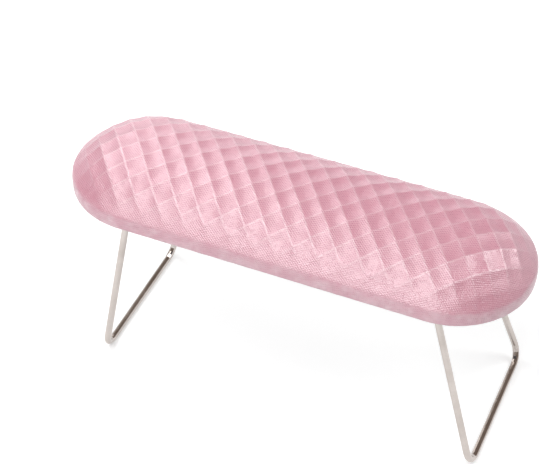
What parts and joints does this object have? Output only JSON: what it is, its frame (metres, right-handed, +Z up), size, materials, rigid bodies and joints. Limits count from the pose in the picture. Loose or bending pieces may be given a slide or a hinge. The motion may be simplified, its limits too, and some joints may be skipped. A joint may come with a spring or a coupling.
{
  "type": "manicure hand rest",
  "caption": "Padded manicure hand rest: a stadium-shaped cushion with embossed diamond quilting on two splayed U-shaped wire legs.",
  "frame": {"origin": "centre of the bounding box in plan, on the surface that the two floor bars stand on", "axes": "+X along the cushion towards the leg that splays more, +Y across it towards the rear, +Z up"},
  "size_m": [0.4, 0.1404, 0.1906],
  "materials": {
    "cover": "soft satin sheen, embossed diamonds",
    "foam": "open-cell foam",
    "board": "raw fibreboard",
    "lining": "matt non-woven sheet",
    "plated_rod": "bright nickel plate",
    "zinc_screw": "zinc plate",
    "zinc_washer": "zinc plate",
    "zinc_nut": "yellow zinc plate",
    "steel_staple": "galvanised wire"
  },
  "bodies": {
    "root": {"base_board": "board", "bottom_lining": "lining", "cover": "cover", "foam_pad": "foam", "leg_left": "plated_rod", "leg_right": "plated_rod", "screw_left_front": "zinc_screw", "screw_left_rear": "zinc_screw", "screw_right_front": "zinc_screw", "screw_right_rear": "zinc_screw", "staple_01": "steel_staple", "staple_02": "steel_staple", "staple_03": "steel_staple", "staple_04": "steel_staple", "staple_05": "steel_staple", "staple_06": "steel_staple", "staple_07": "steel_staple", "staple_08": "steel_staple", "staple_09": "steel_staple", "staple_10": "steel_staple", "staple_11": "steel_staple", "staple_12": "steel_staple", "staple_13": "steel_staple", "staple_14": "steel_staple", "staple_15": "steel_staple", "tee_nut_left_front": "zinc_nut", "tee_nut_left_rear": "zinc_nut", "tee_nut_right_front": "zinc_nut", "tee_nut_right_rear": "zinc_nut", "washer_left_front": "zinc_washer", "washer_left_rear": "zinc_washer", "washer_right_front": "zinc_washer", "washer_right_rear": "zinc_washer"}
  },
  "joints": []
}
